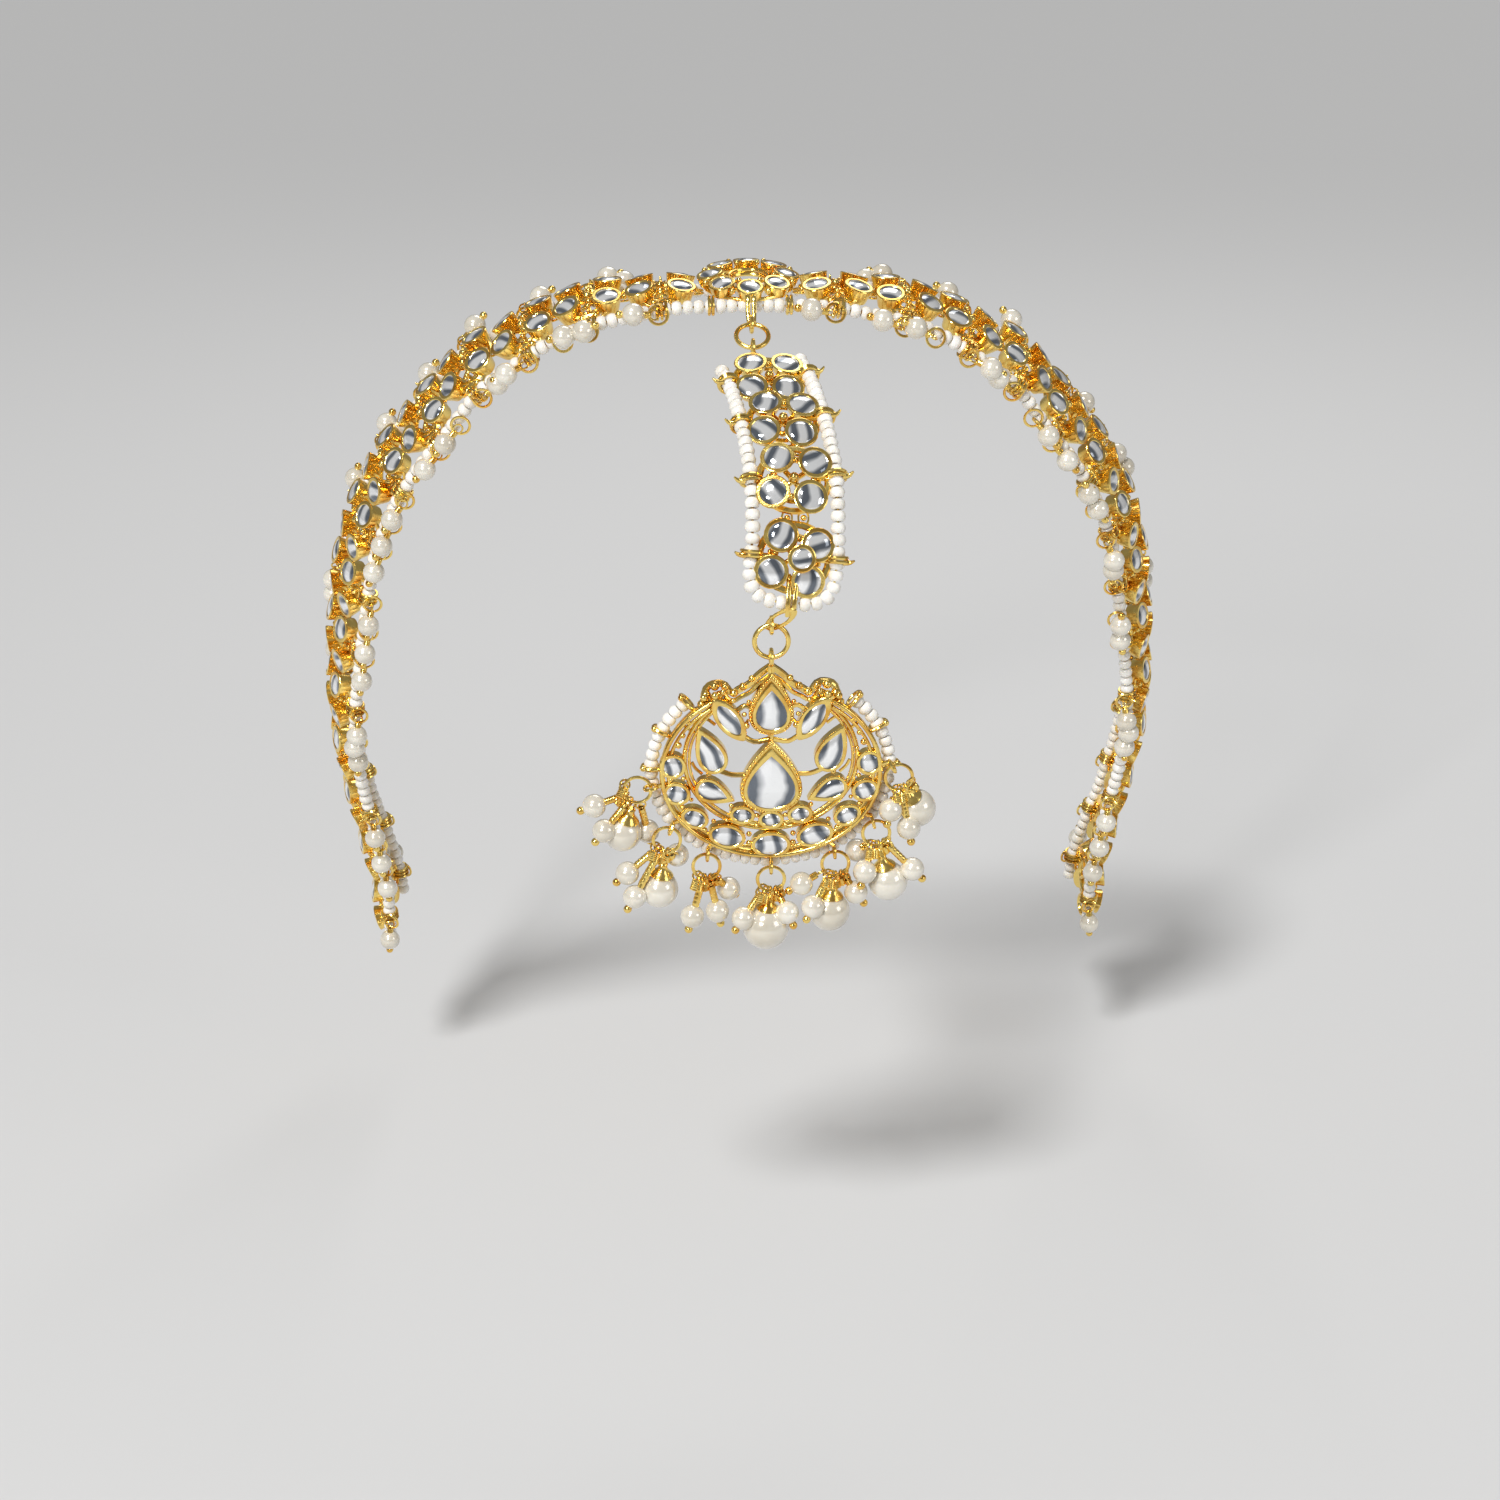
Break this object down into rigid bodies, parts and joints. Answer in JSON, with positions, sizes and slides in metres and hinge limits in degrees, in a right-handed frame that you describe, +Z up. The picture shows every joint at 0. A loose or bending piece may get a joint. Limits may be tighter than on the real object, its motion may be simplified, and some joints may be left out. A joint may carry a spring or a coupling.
{
  "type": "matha patti",
  "caption": "Head ornament in its worn form: two jewelled side bands, a crown flower, a centre strip and a forehead pendant with pearl drops.",
  "frame": {"origin": "on the hair under the middle of the crown flower", "axes": "+X towards the wearer's left, -Y towards the face, +Z up"},
  "size_m": [0.1972, 0.1214, 0.1744],
  "materials": {
    "gold": "gold plated, polished",
    "pearl": "pearl coated",
    "seed_beads": "satin"
  },
  "bodies": {
    "head_piece": {"crown_flower": "gold", "jump_ring_upper": "gold", "centre_strip": "gold", "centre_strip_string": "seed_beads", "right_band": "gold", "right_front_string": "seed_beads", "right_back_string": "seed_beads", "left_band": "gold", "left_front_string": "seed_beads", "left_back_string": "seed_beads"},
    "lower_ring": {"jump_ring_lower": "gold"},
    "pendant": {"pendant_plate": "gold", "pendant_rim_string": "seed_beads", "pendant_drop_1": "pearl", "pendant_drop_2": "pearl", "pendant_drop_3": "pearl", "pendant_drop_4": "pearl", "pendant_drop_5": "pearl", "pendant_drop_6": "pearl", "pendant_drop_7": "pearl"}
  },
  "joints": [
    {"name": "ring_turn", "type": "hinge", "parent": "head_piece", "child": "lower_ring", "pos_m": [0.0012, -0.0655, -0.0513], "axis": [0, 1, 0], "range_deg": [-20, 20]},
    {"name": "pendant_swing", "type": "hinge", "parent": "lower_ring", "child": "pendant", "pos_m": [0.0012, -0.0655, -0.058], "axis": [-1, 0, 0], "range_deg": [-15, 70]}
  ]
}
